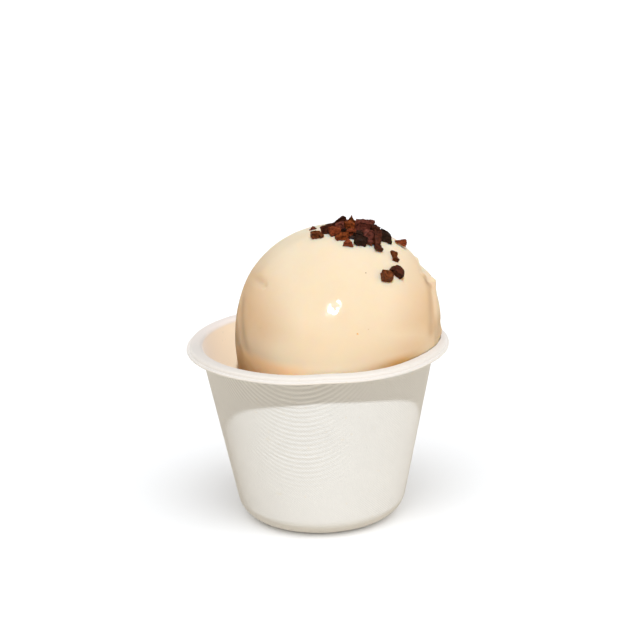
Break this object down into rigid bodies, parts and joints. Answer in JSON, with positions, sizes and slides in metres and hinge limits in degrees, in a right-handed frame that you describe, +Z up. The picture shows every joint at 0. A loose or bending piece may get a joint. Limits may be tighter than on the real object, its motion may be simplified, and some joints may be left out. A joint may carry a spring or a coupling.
{
  "type": "cup of sorbet",
  "caption": "Large smooth scoop of cream-coloured sorbet in a tapered moulded-pulp cup with a rolled rim, topped with a heap of cocoa nibs.",
  "frame": {"origin": "middle of the cup's flat foot, on the surface it stands on", "axes": "+Z up along the cup's axis, +X towards the side of the rim that the scoop leans on, -Y towards the viewer"},
  "size_m": [0.0898, 0.09, 0.1056],
  "materials": {
    "moulded_pulp": "matte pressed pulp with a fine wire-mesh imprint",
    "sorbet": "smooth, wet, slightly translucent",
    "cocoa_nib": "broken roasted cocoa bean, satin"
  },
  "bodies": {
    "root": {"cup": "moulded_pulp", "sorbet_scoop": "sorbet", "nib_heap": "cocoa_nib"}
  },
  "joints": []
}
